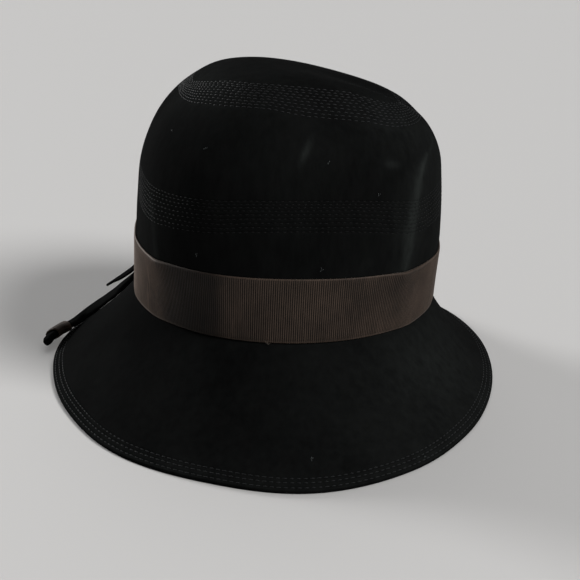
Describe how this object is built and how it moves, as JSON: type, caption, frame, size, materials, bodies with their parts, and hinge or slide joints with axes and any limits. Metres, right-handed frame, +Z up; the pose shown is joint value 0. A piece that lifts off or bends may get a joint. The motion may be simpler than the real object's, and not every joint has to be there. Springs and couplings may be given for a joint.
{
  "type": "cloche hat",
  "caption": "Black velour felt cloche hat with a tall crown, a bell-shaped stitched brim, a grosgrain ribbon band and a small felt tie at the side.",
  "frame": {"origin": "on the surface the hat rests on, under the middle of its bounding box", "axes": "+Z up towards the crown's tip, -Y towards the front of the hat, +X towards the wearer's left"},
  "size_m": [0.2622, 0.2856, 0.1777],
  "materials": {
    "felt": "black velour felt, deep matt nap with a faint cool sheen",
    "ribbon": "dark taupe grosgrain, fine upright ribs with a soft silky sheen"
  },
  "bodies": {
    "root": {"crown": "felt", "brim": "felt", "band": "ribbon", "tie_long": "felt", "tie_short": "felt", "tie_wrap": "ribbon"}
  },
  "joints": []
}
